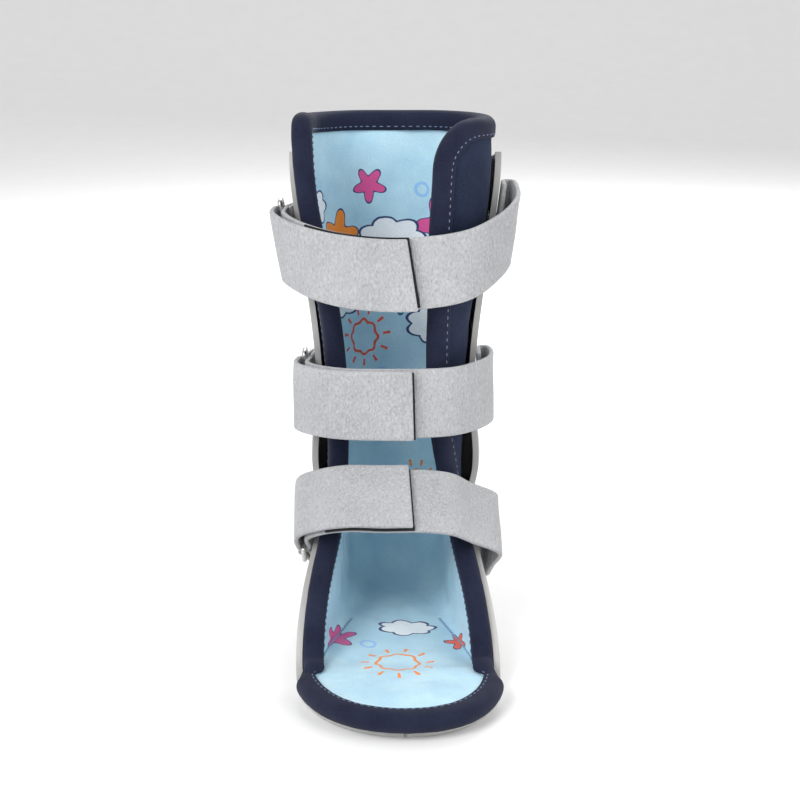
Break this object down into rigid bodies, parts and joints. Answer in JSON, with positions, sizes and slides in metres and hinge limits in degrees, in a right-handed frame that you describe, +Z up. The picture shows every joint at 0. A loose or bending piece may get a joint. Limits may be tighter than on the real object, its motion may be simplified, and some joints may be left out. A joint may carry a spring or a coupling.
{
  "type": "medical walking boot",
  "caption": "Child's ankle-foot walking boot: a stiff open-front leg and foot shell with a padded liner, closed by straps looped through metal rings.",
  "frame": {"origin": "on the sole's underside, below the ankle", "axes": "+Z up the leg, -Y towards the toe, +X towards the side where the straps are riveted; the rings are on the -X side"},
  "size_m": [0.1057, 0.1642, 0.2269],
  "materials": {
    "shell": "satin, faint marks of moulding",
    "liner": "short brushed pile",
    "lining": "fine printed knit",
    "binding": "fine ribbed tape",
    "blue_patch": "fuzzy loop pile",
    "white_label": "smooth woven",
    "strap": "brushed loop pile",
    "hook": "short stiff hooks",
    "webbing": "ribbed webbing",
    "ring": "nickel plated",
    "rivet": "nickel plated"
  },
  "bodies": {
    "root": {"shell": "shell", "liner_pad": "liner", "liner_lining": "lining", "wing_binding": "binding", "toe_binding": "binding", "blue_patch": "blue_patch", "white_label": "white_label", "top_strap": "strap", "top_hook_patch": "hook", "top_ring": "ring", "top_ring_tab": "webbing", "top_strap_rivet": "rivet", "top_tab_rivet": "rivet", "middle_strap": "strap", "middle_hook_patch": "hook", "middle_ring": "ring", "middle_ring_tab": "webbing", "middle_strap_rivet": "rivet", "middle_tab_rivet": "rivet", "instep_strap": "strap", "instep_hook_patch": "hook", "instep_ring": "ring", "instep_ring_tab": "webbing", "instep_strap_rivet": "rivet", "instep_tab_rivet": "rivet"}
  },
  "joints": []
}
